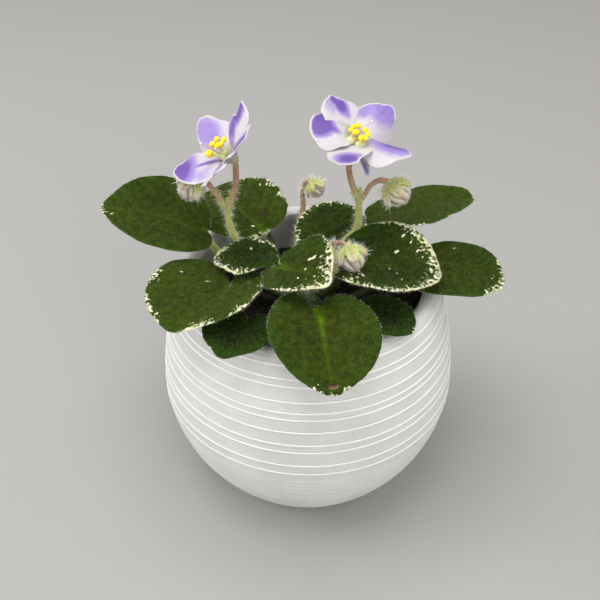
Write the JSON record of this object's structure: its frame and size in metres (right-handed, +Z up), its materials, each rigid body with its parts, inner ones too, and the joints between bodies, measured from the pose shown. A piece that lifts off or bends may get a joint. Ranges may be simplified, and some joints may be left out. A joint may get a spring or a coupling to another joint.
{
  "type": "potted african violet",
  "caption": "African violet with variegated hairy leaves, open violet and white blooms and nodding buds, growing in a round white ribbed ceramic pot.",
  "frame": {"origin": "middle of the flat foot of the pot, on the surface that it stands on", "axes": "+Z up along the pot's axis, -Y towards the side that the lowest front leaf hangs over, +X to the right seen from there"},
  "size_m": [0.1431, 0.1218, 0.1469],
  "materials": {
    "pot_ceramic": "matte white with thin raised rings",
    "soil": "dark moist potting mix",
    "leaf": "velvety dark green with cream variegation at the edge",
    "stem": "hairy yellow green, flushed red brown",
    "petal": "white with violet blotches, softly sparkling",
    "anther": "smooth bright yellow",
    "style": "smooth purple pink with a pale tip",
    "bud": "pale lilac cream, hairy"
  },
  "bodies": {
    "root": {"pot": "pot_ceramic", "soil": "soil", "crown": "stem", "leaf_left_back": "leaf", "leaf_back_left": "leaf", "leaf_back_right": "leaf", "leaf_right": "leaf", "leaf_back_middle": "leaf", "leaf_inner_left": "leaf", "leaf_inner_front": "leaf", "leaf_inner_right": "leaf", "leaf_left_front": "leaf", "leaf_low_left": "leaf", "leaf_front": "leaf", "leaf_low_right": "leaf", "petals_left": "petal", "anthers_left": "anther", "style_left": "style", "petals_right": "petal", "anthers_right": "anther", "style_right": "style", "stalk_left": "stem", "stalk_right": "stem", "stalk_back": "stem", "stalk_front": "stem", "bud_left": "bud", "bud_right": "bud", "bud_back": "bud", "bud_front": "bud"}
  },
  "joints": []
}
